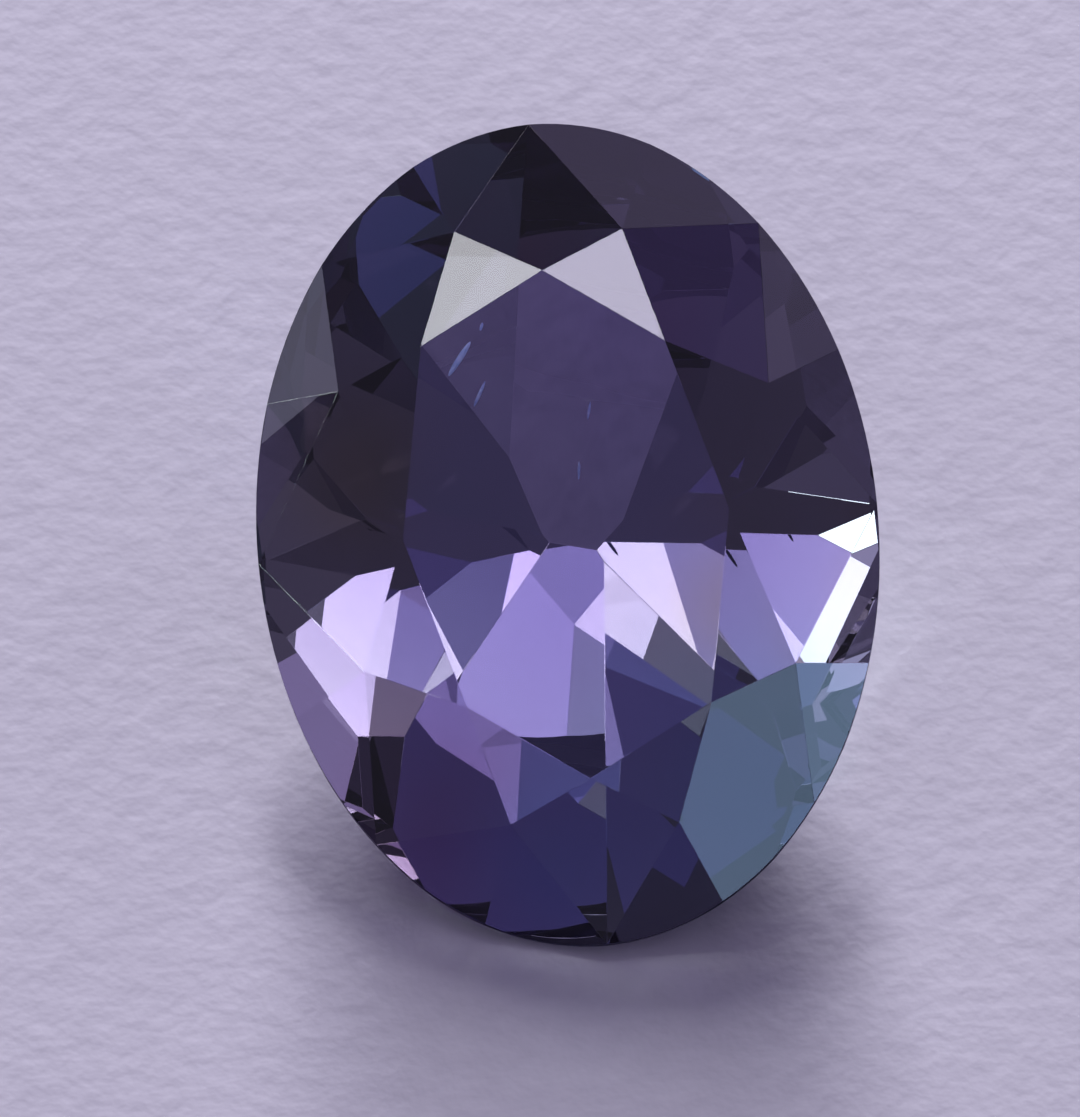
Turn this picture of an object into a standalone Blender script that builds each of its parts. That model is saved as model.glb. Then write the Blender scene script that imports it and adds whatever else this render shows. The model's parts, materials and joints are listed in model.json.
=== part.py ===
# Oval faceted tanzanite, lying tipped back on one flat facet of its pavilion.
#
# The stone is cut the way a lapidary cuts it: an oval blank first, then one flat facet after
# another takes a slice off it, tier by tier, until only the finished gem is left.
# While it is cut, the table faces +Z, the length lies along Y and the girdle's upper edge is at
# Z = 0. At the end the stone is turned until one facet of its south end lies flat on Z = 0.
# Units are metres, and angles are in degrees.

import math

import bmesh
import bpy
from mathutils import Matrix, Quaternion, Vector

MM = 0.001

# The size that a gauge reads
STONE_LENGTH = 8.0 * MM
STONE_WIDTH = 6.0 * MM
GIRDLE_THICKNESS = 0.17 * MM
CROWN_HEIGHT = 0.81 * MM

# The oval is drawn with this many short sides
GIRDLE_SIDES = 144

# Stations go round the girdle from east (0) by north (4) and west (8) to south (12)
STATIONS = 16

# Tips of the star facets: how far across and along, and at what share of the crown's height
END_STAR_TIP = (0.808 * MM, 2.889 * MM, 0.727)
SIDE_STAR_TIP = (2.069 * MM, 1.364 * MM, 0.654)

# Bearing of the table's diagonal corners from its middle, measured from the nearer side
TABLE_CORNER_BEARING = 56.4

# The crown sits a little askew on the girdle, as on many hand-cut stones
CROWN_SKEW = 0.077

# Slopes of the long pavilion facets against the table's plane, in order round the girdle
LONG_SLOPES = (
    46.3, 42.7, 41.8, 37.2, 39.6, 43.5, 42.0, 45.9,
    43.6, 44.9, 48.3, 36.5, 37.7, 46.8, 46.3, 44.4,
)

# How far below the girdle the long facets start, by steps from the stone's sides
LONG_DROPS = (0.25 * MM, 0.29 * MM, 0.28 * MM, 0.01 * MM)

# Slopes of the short facets between them and the girdle, by steps from the stone's sides
BREAK_SLOPES = (64.5, 51.6, 57.7, 55.1, 52.2)

# The stone lies on the long facet that starts at this station
RESTING_FACET = 11

# The blank reaches this far above and below the girdle before it is cut
BLANK_TOP = 2.0 * MM
BLANK_BOTTOM = -6.0 * MM

# Points closer to a cut than this count as lying on it
ON_CUT = 1e-7

VIOLET_BLUE = (0.33, 0.27, 0.62, 1.0)
TANZANITE_IOR = 1.69


def station_bearing(station):
    return math.radians(station * 360.0 / STATIONS)


def girdle_point(station, height=0.0):
    """A point on the oval's side."""
    bearing = station_bearing(station)
    across = STONE_WIDTH / 2 * math.cos(bearing)
    along = STONE_LENGTH / 2 * math.sin(bearing)
    return Vector((across, along, height))


def facet_through(first, second, third):
    """A cut through three points, as a point and the normal that points out of the stone."""
    normal = (second - first).cross(third - first).normalized()
    if normal.dot(first) < 0:
        normal.negate()
    return first, normal


def star_tip(station):
    """Where two bezels, a star and two upper girdle facets meet."""
    bearing = station_bearing(station)
    near_end = abs(math.sin(bearing)) > abs(math.cos(bearing))
    across, along, share = END_STAR_TIP if near_end else SIDE_STAR_TIP
    across = math.copysign(across, math.cos(bearing))
    along = math.copysign(along, math.sin(bearing))
    return Vector((across, along - CROWN_SKEW * across, share * CROWN_HEIGHT))


def bezel(station):
    """The crown main at an even station: it runs up from the girdle between two star tips."""
    return facet_through(girdle_point(station), star_tip(station - 1), star_tip(station + 1))


def table_corner(station):
    """Where a bezel meets the table, on a set bearing from the table's middle."""
    bearing = station_bearing(station)
    if abs(math.cos(bearing)) > ON_CUT and abs(math.sin(bearing)) > ON_CUT:
        corner = math.radians(TABLE_CORNER_BEARING)
        out = Vector((math.copysign(math.cos(corner), math.cos(bearing)),
                      math.copysign(math.sin(corner), math.sin(bearing)), 0))
    else:
        out = Vector((math.cos(bearing), math.sin(bearing), 0))
    middle = Vector((0, 0, CROWN_HEIGHT))
    point, normal = bezel(station)
    return middle + out * (normal.dot(point - middle) / normal.dot(out))


def crown_facets():
    """The table, then the bezels, stars and upper girdle facets."""
    yield Vector((0, 0, CROWN_HEIGHT)), Vector((0, 0, 1))
    for station in range(0, STATIONS, 2):
        yield bezel(station)
    for station in range(1, STATIONS, 2):
        tip = star_tip(station)
        yield facet_through(table_corner(station - 1), table_corner(station + 1), tip)
        yield facet_through(girdle_point(station - 1), girdle_point(station), tip)
        yield facet_through(girdle_point(station), girdle_point(station + 1), tip)


def steps_from_side(place, last):
    """Steps from the nearer side, east or west, where one side to the other takes so many places."""
    along = place % (STATIONS // 2)
    return min(along, last - along)


def long_facet(station):
    """From a little below the girdle, between this station and the next, down to the keel."""
    drop = LONG_DROPS[steps_from_side(station, STATIONS // 2 - 1)]
    start = girdle_point(station, -GIRDLE_THICKNESS - drop)
    end = girdle_point(station + 1, -GIRDLE_THICKNESS - drop)
    along = (end - start).normalized()
    slope = math.radians(LONG_SLOPES[station])
    return start, Vector((along.y * math.sin(slope), -along.x * math.sin(slope), -math.cos(slope)))


def break_facet(station):
    """Short and steeper, at a station, from the girdle's lower edge down to the long facets."""
    bearing = station_bearing(station)
    out = Vector((math.cos(bearing) / STONE_WIDTH, math.sin(bearing) / STONE_LENGTH, 0)).normalized()
    slope = math.radians(BREAK_SLOPES[steps_from_side(station, STATIONS // 2)])
    normal = out * math.sin(slope) - Vector((0, 0, math.cos(slope)))
    return girdle_point(station, -GIRDLE_THICKNESS), normal


def oval_blank():
    """The upright oval bar that the stone is cut from."""
    blank = bmesh.new()
    bmesh.ops.create_cone(
        blank,
        cap_ends=True,
        segments=GIRDLE_SIDES,
        radius1=0.5,
        radius2=0.5,
        depth=BLANK_TOP - BLANK_BOTTOM,
    )
    bmesh.ops.scale(blank, vec=(STONE_WIDTH, STONE_LENGTH, 1), verts=blank.verts)
    middle = (BLANK_TOP + BLANK_BOTTOM) / 2
    bmesh.ops.translate(blank, vec=(0, 0, middle), verts=blank.verts)
    return blank


def cut_facet(stone, point, normal):
    """Takes away all that lies outside the cut and closes the opening with one flat facet."""
    everything = stone.verts[:] + stone.edges[:] + stone.faces[:]
    cut = bmesh.ops.bisect_plane(
        stone, geom=everything, dist=ON_CUT, plane_co=point, plane_no=normal, clear_outer=True
    )
    new_edges = [part for part in cut["geom_cut"] if isinstance(part, bmesh.types.BMEdge)]
    rim = [edge for edge in new_edges if edge.is_boundary]
    if rim:
        bmesh.ops.contextual_create(stone, geom=rim)


def lie_on(stone, facet):
    """Turns the stone until a facet lies level on Z = 0, lengthways along Y, over the origin."""
    point, normal = facet
    lying = normal.rotation_difference(Vector((0, 0, -1)))
    lengthways = lying @ Vector((0, 1, 0))
    swing = Quaternion((0, 0, 1), math.atan2(lengthways.x, lengthways.y))
    turn = (swing @ lying).to_matrix().to_4x4()
    stone.data.transform(turn)
    corners = [vertex.co for vertex in stone.data.vertices]
    middle = [(min(c[axis] for c in corners) + max(c[axis] for c in corners)) / 2 for axis in range(2)]
    stone.data.transform(Matrix.Translation((-middle[0], -middle[1], -(turn @ point).z)))


def tanzanite_crystal():
    """Clear violet-blue crystal with a high polish."""
    material = bpy.data.materials.new("tanzanite_crystal")
    material.use_nodes = True
    shader = material.node_tree.nodes["Principled BSDF"]
    shader.inputs["Base Color"].default_value = VIOLET_BLUE
    shader.inputs["Metallic"].default_value = 0.0
    shader.inputs["Roughness"].default_value = 0.0
    shader.inputs["IOR"].default_value = TANZANITE_IOR
    shader.inputs["Transmission Weight"].default_value = 1.0
    return material


def make_tanzanite():
    """Cuts the whole stone and lays it down."""
    stone = oval_blank()
    for point, normal in crown_facets():
        cut_facet(stone, point, normal)
    for station in range(STATIONS):
        cut_facet(stone, *long_facet(station))
    for station in range(STATIONS):
        cut_facet(stone, *break_facet(station))
    bmesh.ops.recalc_face_normals(stone, faces=stone.faces)
    mesh = bpy.data.meshes.new("tanzanite")
    stone.to_mesh(mesh)
    stone.free()
    gem = bpy.data.objects.new("tanzanite", mesh)
    gem.data.materials.append(tanzanite_crystal())
    bpy.context.scene.collection.objects.link(gem)
    lie_on(gem, long_facet(RESTING_FACET))
    return gem


for old in list(bpy.data.objects):
    bpy.data.objects.remove(old)
make_tanzanite()
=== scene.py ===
import json
import math

import bpy
from mathutils import Matrix, Vector

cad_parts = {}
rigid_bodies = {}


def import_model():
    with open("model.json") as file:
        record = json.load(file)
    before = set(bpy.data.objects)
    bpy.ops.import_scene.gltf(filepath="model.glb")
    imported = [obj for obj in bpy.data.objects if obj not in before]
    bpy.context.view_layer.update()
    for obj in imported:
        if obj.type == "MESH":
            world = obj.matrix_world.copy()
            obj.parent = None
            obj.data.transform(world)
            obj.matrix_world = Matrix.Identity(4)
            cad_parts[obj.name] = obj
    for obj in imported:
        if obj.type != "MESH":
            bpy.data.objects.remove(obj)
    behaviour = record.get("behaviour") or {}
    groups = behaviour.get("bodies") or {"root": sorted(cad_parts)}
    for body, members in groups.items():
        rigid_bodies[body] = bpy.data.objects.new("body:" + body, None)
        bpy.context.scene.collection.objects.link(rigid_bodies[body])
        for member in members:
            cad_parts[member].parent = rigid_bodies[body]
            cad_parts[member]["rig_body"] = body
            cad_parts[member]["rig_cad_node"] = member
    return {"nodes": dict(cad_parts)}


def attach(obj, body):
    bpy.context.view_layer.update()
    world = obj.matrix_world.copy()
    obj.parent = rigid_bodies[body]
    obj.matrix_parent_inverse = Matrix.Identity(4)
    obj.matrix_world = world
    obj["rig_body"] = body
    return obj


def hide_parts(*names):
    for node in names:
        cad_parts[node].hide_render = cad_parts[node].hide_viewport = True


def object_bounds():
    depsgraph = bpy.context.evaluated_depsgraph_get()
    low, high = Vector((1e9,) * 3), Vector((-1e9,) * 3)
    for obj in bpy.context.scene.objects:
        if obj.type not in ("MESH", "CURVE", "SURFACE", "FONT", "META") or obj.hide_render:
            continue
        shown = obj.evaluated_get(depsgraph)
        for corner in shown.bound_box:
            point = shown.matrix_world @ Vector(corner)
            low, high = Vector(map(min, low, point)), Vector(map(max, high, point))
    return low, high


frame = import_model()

mm = 0.001
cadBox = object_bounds()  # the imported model's box, before anything is added


def linearColour(hexText, alpha=1.0):
    # sRGB hex to the linear values that Blender works in
    channels = [int(hexText[i:i + 2], 16) / 255 for i in (0, 2, 4)]
    return [c / 12.92 if c <= 0.04045 else ((c + 0.055) / 1.055) ** 2.4 for c in channels] + [alpha]


def addNode(tree, kind, settings=(), values=(), links=()):
    # one node: its settings by name, its socket values by name or number, and what feeds it
    node = tree.nodes.new(kind)
    for name, value in dict(settings).items():
        setattr(node, name, value)
    for socket, value in dict(values).items():
        node.inputs[socket].default_value = value
    for socket, source in dict(links).items():
        tree.links.new(source, node.inputs[socket])
    return node


def newMaterial(name):
    material = bpy.data.materials.new(name)
    material.use_nodes = True
    material.node_tree.nodes.clear()
    return material, material.node_tree


def selectOnly(thing):
    bpy.ops.object.select_all(action="DESELECT")
    thing.select_set(True)
    bpy.context.view_layer.objects.active = thing


# Tanzanite: gem zoisite, heated to violet blue and polished with diamond.
# Its high index gives the hard glitter, and its body colour deepens where light goes a long way.
# The real crystal shows burgundy, violet and blue by direction. Here soft zones of tint, placed where
# the photograph shows each colour, stand in for that, so they stay put when the stone turns.
crystal = {
    "ior": 1.69,
    "body": "fbfafd",
    "zones": {              # middle in mm, how far it reaches in mm, tint
        "teal": ((1.5, -2.5, 1.2), 2.4, "a8f6ee"),
        "burgundy": ((-1.8, -2.8, 1.0), 1.8, "d680ae"),
        "blue": ((-0.4, -2.9, 0.8), 1.5, "c0eaff"),
        "violet": ((0.6, 1.3, 3.9), 2.5, "d8c6f4"),
        "olive": ((-2.2, 0.3, 3.2), 1.3, "ffe8a0"),
    },
    "absorption": "74678c", # the shader takes out one minus this colour
    "depthMm": 3.3,         # over this length
    "girdleRoughness": 0.35,  # the girdle is ground, not polished
}


def crystalMaterial(name, roughness):
    material, tree = newMaterial(name)
    place = addNode(tree, "ShaderNodeTexCoord").outputs["Object"]
    tint = addNode(tree, "ShaderNodeRGB").outputs[0]
    tint.default_value = linearColour(crystal["body"])
    for middleMm, reachMm, colour in crystal["zones"].values():
        away = addNode(tree, "ShaderNodeVectorMath", {"operation": "DISTANCE"},
                       {1: [c * mm for c in middleMm]}, {0: place})
        share = addNode(tree, "ShaderNodeMapRange", {"interpolation_type": "SMOOTHSTEP"},
                        {"From Min": reachMm * mm, "From Max": 0.0}, {"Value": away.outputs["Value"]})
        zone = addNode(tree, "ShaderNodeMix", {"data_type": "RGBA"}, {7: linearColour(colour)},
                       {"Factor": share.outputs["Result"], 6: tint})
        tint = zone.outputs[2]
    shader = addNode(
        tree, "ShaderNodeBsdfPrincipled",
        values={"Transmission Weight": 1.0, "IOR": crystal["ior"], "Roughness": roughness},
        links={"Base Color": tint})
    depth = addNode(
        tree, "ShaderNodeVolumeAbsorption",
        values={"Color": linearColour(crystal["absorption"]), "Density": 1 / (crystal["depthMm"] * mm)})
    addNode(tree, "ShaderNodeOutputMaterial",
            links={"Surface": shader.outputs[0], "Volume": depth.outputs[0]})
    return material


stone = {
    "weldMm": 0.001,
    "sameFacet": 0.2,       # degrees between two triangles of one facet
    "edgeWidthMm": 0.012,   # how far the polish has rounded the facet edges
    "edgeSteps": 2,
    "edgeFrom": 4.0,        # degrees between two faces that count as an edge
    "girdleLean": 0.02,     # a face this close to square with the table belongs to the girdle
}


def polishedStone():
    # the cut stone, with its facets whole again and their edges very slightly rounded
    selectOnly(frame["nodes"]["tanzanite"])
    bpy.ops.object.duplicate()
    piece = bpy.context.object
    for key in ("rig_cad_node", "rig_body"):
        if key in piece:
            del piece[key]
    bpy.ops.object.parent_clear(type="CLEAR_KEEP_TRANSFORM")
    piece.name = piece.data.name = "polishedStone"
    bpy.ops.object.mode_set(mode="EDIT")
    bpy.ops.mesh.select_all(action="SELECT")
    bpy.ops.mesh.remove_doubles(threshold=stone["weldMm"] * mm)
    bpy.ops.mesh.dissolve_limited(angle_limit=math.radians(stone["sameFacet"]))
    bpy.ops.object.mode_set(mode="OBJECT")
    piece.data.materials.clear()
    piece.data.materials.append(crystalMaterial("polishedTanzanite", 0.0))
    piece.data.materials.append(crystalMaterial("groundTanzanite", crystal["girdleRoughness"]))
    table = max(piece.data.polygons, key=lambda face: face.area)
    for face in piece.data.polygons:
        face.material_index = int(abs(face.normal.dot(table.normal)) < stone["girdleLean"])
    print("stone:", len(piece.data.polygons), "facets, table", round(table.area / mm ** 2, 2), "square mm")
    rounding = piece.modifiers.new("roundedEdges", "BEVEL")
    rounding.width = stone["edgeWidthMm"] * mm
    rounding.segments = stone["edgeSteps"]
    rounding.limit_method = "ANGLE"
    rounding.angle_limit = math.radians(stone["edgeFrom"])
    rounding.use_clamp_overlap = True
    tableUp = table.normal.copy()
    bpy.ops.object.modifier_apply(modifier=rounding.name)
    return piece, tableUp


gem, tableUp = polishedStone()
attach(gem, "root")
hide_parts("tanzanite")

# Growth tubes: hollow needles, finer than a hair, that grew with the crystal and that light catches.
# A few lie just under the table and show as short blue-white streaks, with glints painted into their
# colour.
growthTubes = {
    "ends": (               # from and to, and how wide, all in mm
        ((-0.84, 1.30, 3.78), (-1.08, 1.07, 3.56), 0.060),
        ((-0.71, 1.06, 3.45), (-0.84, 0.88, 3.30), 0.035),
        ((-0.70, 1.46, 3.86), (-0.73, 1.40, 3.81), 0.030),
        ((0.28, 0.77, 3.36), (0.24, 0.64, 3.25), 0.025),
        ((0.14, 0.39, 2.93), (0.12, 0.25, 2.82), 0.025),
    ),
    "flatness": 0.4,        # thickness against width
    "sides": 12,
    "rings": 10,
    "bright": "dce8ff",
    "dim": "6f95d6",
    "paintedGlintMm": 0.06,        # painted glints: the tube's colour turns brighter and dimmer in patches over this length, as the light in a tube comes and goes
    "roughness": 0.5,
    "ior": 1.5,
}


def tubeMaterial():
    material, tree = newMaterial("growthTube")
    place = addNode(tree, "ShaderNodeTexCoord").outputs["Object"]
    # painted glints: noise mixes the dim and bright colours along each tube, on top of the light that
    # really reaches it
    patches = addNode(tree, "ShaderNodeTexNoise", values={
        "Scale": 1 / (growthTubes["paintedGlintMm"] * mm), "Detail": 1.0}, links={"Vector": place})
    tint = addNode(tree, "ShaderNodeMix", {"data_type": "RGBA"},
                   {6: linearColour(growthTubes["dim"]), 7: linearColour(growthTubes["bright"])},
                   {"Factor": patches.outputs["Fac"]})
    shader = addNode(
        tree, "ShaderNodeBsdfPrincipled",
        values={"Roughness": growthTubes["roughness"], "IOR": growthTubes["ior"]},
        links={"Base Color": tint.outputs[2]})
    addNode(tree, "ShaderNodeOutputMaterial", links={"Surface": shader.outputs[0]})
    return material


def tubes(up):
    # a long, flattened bead for each, its flat side to the table
    bpy.ops.object.select_all(action="DESELECT")
    beads = []
    for start, end, width in growthTubes["ends"]:
        start, end = Vector(start) * mm, Vector(end) * mm
        along = (end - start).normalized()
        across = along.cross(up).normalized()
        turn = Matrix((across, along.cross(across), along)).transposed()
        bpy.ops.mesh.primitive_uv_sphere_add(
            segments=growthTubes["sides"], ring_count=growthTubes["rings"], radius=1,
            location=(start + end) / 2, rotation=turn.to_euler())
        bead = bpy.context.object
        bead.scale = (width * mm / 2, width * mm / 2 * growthTubes["flatness"], (end - start).length / 2)
        beads.append(bead)
    for bead in beads:
        bead.select_set(True)
    bpy.ops.object.join()
    bpy.ops.object.transform_apply(location=True, rotation=True, scale=True)
    bpy.ops.object.shade_smooth()
    piece = bpy.context.object
    piece.name = piece.data.name = "growthTubes"
    piece.data.materials.append(tubeMaterial())
    print("growth tubes:", len(beads))
    return piece


needles = tubes(tableUp)
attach(needles, "root")

# Paper: matt lavender-white drawing paper. Its felted fibres make a fine, soft tooth, and they clump
# into slightly lighter and darker patches.
paper = {
    "sizeMm": 600,
    "light": "efedf2",
    "dark": "d9d7de",
    "paintedShadeForStone": "79718e", # painted shade: the whole paper as the stone sees it, darkened to violet-grey for the stone's shadow on it
    "grainMm": 0.3,         # across one bump of the tooth
    "clumpMm": 1.6,         # across one patch
    "clumpShare": 0.4,      # how much of the shade the patches make, against the bumps
    "roughness": 0.85,
    "ior": 1.45,
    "tooth": 0.022,         # how high the bumps stand, in mm
    "gapMm": 0.01,          # the stone rides on the highest fibres, so air stays under its facet
}


def paperMaterial():
    material, tree = newMaterial("drawingPaper")
    place = addNode(tree, "ShaderNodeTexCoord").outputs["Object"]
    grain = addNode(tree, "ShaderNodeTexNoise", values={
        "Scale": 1 / (paper["grainMm"] * mm), "Detail": 2.5, "Roughness": 0.55}, links={"Vector": place})
    clump = addNode(tree, "ShaderNodeTexNoise", values={
        "Scale": 1 / (paper["clumpMm"] * mm), "Detail": 2.0, "Roughness": 0.5}, links={"Vector": place})
    shade = addNode(tree, "ShaderNodeMix", {"data_type": "FLOAT"}, {"Factor": paper["clumpShare"]},
                    {2: grain.outputs["Fac"], 3: clump.outputs["Fac"]})
    tint = addNode(tree, "ShaderNodeMix", {"data_type": "RGBA"},
                   {6: linearColour(paper["dark"]), 7: linearColour(paper["light"])},
                   {"Factor": shade.outputs[0]})
    # painted shade: every ray but a camera ray sees the paper in the darker violet-grey, for the stone's
    # shadow
    paperWithPaintedShade = addNode(tree, "ShaderNodeMix", {"data_type": "RGBA"}, {6: linearColour(paper["paintedShadeForStone"])},
                   {"Factor": addNode(tree, "ShaderNodeLightPath").outputs["Is Camera Ray"],
                    7: tint.outputs[2]})
    tooth = addNode(tree, "ShaderNodeBump", values={"Strength": 1.0, "Distance": paper["tooth"] * mm},
                    links={"Height": grain.outputs["Fac"]})
    shader = addNode(
        tree, "ShaderNodeBsdfPrincipled",
        values={"Roughness": paper["roughness"], "IOR": paper["ior"]},
        links={"Base Color": paperWithPaintedShade.outputs[2], "Normal": tooth.outputs[0]})
    addNode(tree, "ShaderNodeOutputMaterial", links={"Surface": shader.outputs[0]})
    return material


bpy.ops.object.select_all(action="DESELECT")
bpy.ops.mesh.primitive_plane_add(size=paper["sizeMm"] * mm, location=(0, 0, -paper["gapMm"] * mm))
sheet = bpy.context.object
sheet.name = "paperFloor"
sheet.data.materials.append(paperMaterial())

# Soft boxes. Each stands on a bearing (clockwise from +Y) at a height, both in degrees as the stone
# sees them, and so are its width and height. Brightness is against white paper at 1.
# One lights the paper, for a shadow towards the viewer, and the others are linked to the stone.
# This is more than plain studio light: the stone's boxes, their strengths and their tints were solved
# by a fitting program against the photograph, so they are right for its viewpoint alone.
studio = {
    "distanceMm": 300,
    "surround": 0.208,
    "surroundColour": "d9cdff",
}
softBoxes = {
    "lowWest": {"bearing": 274.1, "height": 15.2, "size": (26.5, 5.4), "turn": -35.4,
        "brightness": 7.09, "colour": "e7fff6"},
    "highWest": {"bearing": 286.7, "height": 66.9, "size": (20.8, 19.3), "turn": 25.9,
        "brightness": 4.95, "colour": "f7f7ff"},
    "overheadEast": {"bearing": 89.9, "height": 79.6, "size": (12.5, 14.5), "turn": 50.2,
        "brightness": 3.35, "colour": "fff8ff"},
    "highNorth": {"bearing": 341.1, "height": 56, "size": (30.4, 8.8), "turn": -5.7,
        "brightness": 1.42, "colour": "f6e8ff"},
    "highSouthEast": {"bearing": 145.3, "height": 70.5, "size": (8.9, 9.1), "turn": -61.1,
        "brightness": 3.67, "colour": "f2fff6"},
    "lowWestTwo": {"bearing": 284.6, "height": 20.9, "size": (23.8, 12.5), "turn": 41.3,
        "brightness": 3.50, "colour": "eefff6"},
    "lowSouthEast": {"bearing": 122.7, "height": 10.1, "size": (6.3, 8.6), "turn": 65.6,
        "brightness": 2.20, "colour": "add4ff"},
    "overheadSouthWest": {"bearing": 221, "height": 82.8, "size": (39.4, 22.6), "turn": 5.7,
        "brightness": 0.64, "colour": "d0c6ff"},
    "lowSouthEastTwo": {"bearing": 141.2, "height": 8.6, "size": (18.4, 14), "turn": -69.1,
        "brightness": 1.68, "colour": "add4ff"},
    "highNorthWest": {"bearing": 327.5, "height": 65.6, "size": (15.5, 15.8), "turn": -8.6,
        "brightness": 0.97, "colour": "fdf4ff"},
    "lowNorthWest": {"bearing": 308.4, "height": 15.5, "size": (48.8, 27.8), "turn": 12.5,
        "brightness": 0.87, "colour": "dddbff"},
    "highWestTwo": {"bearing": 271.4, "height": 60, "size": (33.2, 19.3), "turn": 54.6,
        "brightness": 0.67, "colour": "f1f7ff"},
    "overheadWest": {"bearing": 275.1, "height": 88.8, "size": (19.4, 17.9), "turn": -84.5,
        "brightness": 1.15, "colour": "d6ceff"},
    "overheadSouth": {"bearing": 173.7, "height": 79.2, "size": (24.1, 14.2), "turn": 42.5,
        "brightness": 1.04, "colour": "dacfff"},
    "midNorthEast": {"bearing": 40.7, "height": 30.3, "size": (56.3, 55), "turn": 17.8,
        "brightness": 0.56, "colour": "d2bfff"},
    "highEast": {"bearing": 81.3, "height": 60.3, "size": (15.7, 10.2), "turn": -8.5,
        "brightness": 0.37, "colour": "a480ff"},
    "overheadWestTwo": {"bearing": 248.1, "height": 88.5, "size": (52.2, 18.8), "turn": -79.7,
        "brightness": 0.62, "colour": "adbfff"},
    "highSouth": {"bearing": 200.1, "height": 64.2, "size": (34.4, 29.7), "turn": -7.7,
        "brightness": 0.32, "colour": "9084ff"},
}
paperBox = {"bearing": 4.5, "height": 25.5, "size": (10, 50), "turn": 0,
    "brightness": 20.0, "colour": "f2eeff"}
middle = (cadBox[0] + cadBox[1]) / 2


def direction(bearing, height):
    bearing, height = math.radians(bearing), math.radians(height)
    level = math.cos(height)
    return Vector((math.sin(bearing) * level, math.cos(bearing) * level, math.sin(height)))


def softBox(name, lights, bearing, height, size, turn, brightness, colour):
    distance = studio["distanceMm"] * mm
    away = direction(bearing, height)
    bpy.ops.object.light_add(type="AREA", location=middle + away * distance)
    lamp = bpy.context.object
    lamp.name = lamp.data.name = name
    facing = away.to_track_quat("Z", "Y").to_matrix() @ Matrix.Rotation(math.radians(turn), 3, "Z")
    lamp.rotation_euler = facing.to_euler()
    lamp.data.shape = "RECTANGLE"
    lamp.data.size = 2 * distance * math.tan(math.radians(size[0] / 2))
    lamp.data.size_y = 2 * distance * math.tan(math.radians(size[1] / 2))
    lamp.data.energy = brightness * 4 * lamp.data.size * lamp.data.size_y
    lamp.data.color = linearColour(colour)[:3]
    lamp.visible_camera = False
    lamp.light_linking.receiver_collection = lights


def lightGroup(name, thing):
    group = bpy.data.collections.new(name)
    group.objects.link(thing)
    return group


stoneLight = lightGroup("stoneLight", gem)
stoneLight.objects.link(needles)
paperLight = lightGroup("paperLight", sheet)
softBox("paperBox", paperLight, **paperBox)
for name, box in softBoxes.items():
    softBox(name, stoneLight, **box)

world = bpy.data.worlds.new("studioRoom")
world.use_nodes = True
world.node_tree.nodes["Background"].inputs["Color"].default_value = linearColour(studio["surroundColour"])
world.node_tree.nodes["Background"].inputs["Strength"].default_value = studio["surround"]
bpy.context.scene.world = world
print("light:", 1 + len(softBoxes), "soft boxes")

# A long macro lens looks down on the table of the stone. Its place was fitted to the outline and the
# facet lines of the photograph.
camera = {
    "lookAtMm": (-0.295, -0.181, 2.259),
    "bearing": 195.06,      # the side that it stands on, clockwise from +Y
    "height": 47.25,        # degrees above the paper
    "roll": 6.91,
    "distanceMm": 250,
    "frameHeightMm": 10.78,
}


def macroCamera():
    towards = direction(camera["bearing"], camera["height"])
    lookAt = Vector(camera["lookAtMm"]) * mm
    bpy.ops.object.camera_add(location=lookAt + towards * camera["distanceMm"] * mm)
    eye = bpy.context.object
    eye.name = eye.data.name = "macroCamera"
    roll = Matrix.Rotation(math.radians(camera["roll"]), 3, "Z")
    eye.rotation_euler = (towards.to_track_quat("Z", "Y").to_matrix() @ roll).to_euler()
    eye.data.lens = eye.data.sensor_width * camera["distanceMm"] / camera["frameHeightMm"]
    eye.data.clip_start = 0.01
    eye.data.clip_end = 2.0
    bpy.context.scene.camera = eye


macroCamera()

# Light turns many times inside a cut stone before it comes out
look = bpy.context.scene
look.cycles.max_bounces = 32
look.cycles.transmission_bounces = 32
look.cycles.glossy_bounces = 32
look.cycles.diffuse_bounces = 4
look.cycles.transparent_max_bounces = 16
look.cycles.blur_glossy = 0.0
look.view_settings.view_transform = "Standard"
